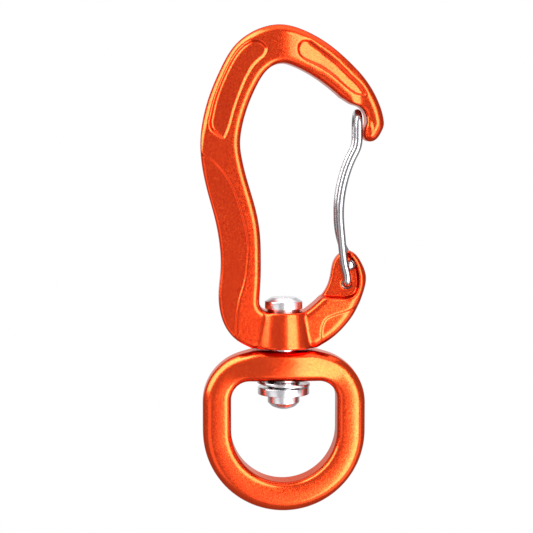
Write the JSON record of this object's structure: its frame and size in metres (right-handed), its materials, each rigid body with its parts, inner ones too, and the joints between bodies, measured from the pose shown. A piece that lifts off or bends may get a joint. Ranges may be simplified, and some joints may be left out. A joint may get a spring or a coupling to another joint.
{
  "type": "swivel carabiner keyring",
  "caption": "Bent-spine carabiner with a sprung bent-wire gate, joined by a riveted swivel pin to a rounded D-shaped ring, for clipping on keys, straps or small gear.",
  "frame": {"origin": "the point where the swivel pin's line meets the inside of the carabiner's bow, midway between its faces", "axes": "+Z along the swivel pin towards the bow, +X towards the gate, -Y towards the front face"},
  "size_m": [0.0357, 0.0122, 0.0955],
  "materials": {
    "frame_anodised": "satin orange anodised",
    "ring_anodised": "satin orange anodised",
    "gate_steel": "polished",
    "pin_steel": "turned and polished",
    "washer_steel": "polished"
  },
  "bodies": {
    "carabiner": {"carabiner_frame": "frame_anodised"},
    "gate": {"gate_wire": "gate_steel", "gate_wire_rear_leg": "gate_steel"},
    "pin": {"swivel_pin": "pin_steel", "collar_washer": "washer_steel"},
    "ring": {"swivel_ring": "ring_anodised"},
    "washer": {"thin_washer": "washer_steel"}
  },
  "joints": [
    {"name": "gate_hinge", "type": "hinge", "parent": "carabiner", "child": "gate", "pos_m": [0.0123, 0, -0.043], "axis": [0, -1, 0], "range_deg": [0, 30], "stiffness_Nm_per_rad": 0.08, "springref_deg": -20.05, "deforming": ["gate_wire_rear_leg"]},
    {"name": "pin_swivel", "type": "hinge", "parent": "carabiner", "child": "pin", "pos_m": [0, 0, -0.052], "axis": [0, 0, 1], "continuous": true},
    {"name": "ring_swivel", "type": "hinge", "parent": "pin", "child": "ring", "pos_m": [0, 0, -0.0592], "axis": [0, 0, 1], "continuous": true},
    {"name": "washer_spin", "type": "hinge", "parent": "pin", "child": "washer", "pos_m": [0, 0, -0.0627], "axis": [0, 0, 1], "continuous": true}
  ]
}
